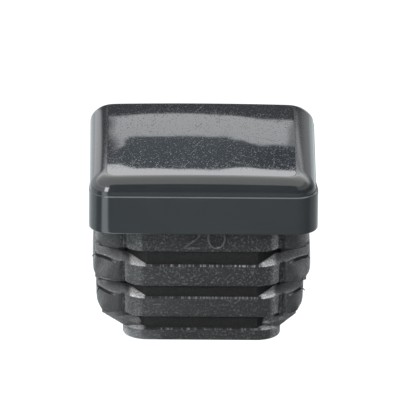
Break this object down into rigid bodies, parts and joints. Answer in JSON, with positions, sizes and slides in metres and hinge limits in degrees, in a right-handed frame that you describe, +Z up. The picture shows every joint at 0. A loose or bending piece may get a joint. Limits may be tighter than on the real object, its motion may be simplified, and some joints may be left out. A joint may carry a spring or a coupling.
{
  "type": "tube end cap",
  "caption": "Square tube end cap: a thick rounded head with a glossy crowned top on a hollow, barbed plug that is driven into the open end of a square tube.",
  "frame": {"origin": "centre of the plug's open lower end, on the plane it stands on", "axes": "+Z up through the plug to the head's top face, X across the two barbed sides, Y across the two flat-land sides, the land with the size number facing -Y"},
  "size_m": [0.02, 0.02, 0.0157],
  "materials": {
    "black_plastic": "black polyethylene: glossy scratched top, satin sides, spark-textured plug"
  },
  "bodies": {
    "root": {"end_cap": "black_plastic"}
  },
  "joints": []
}
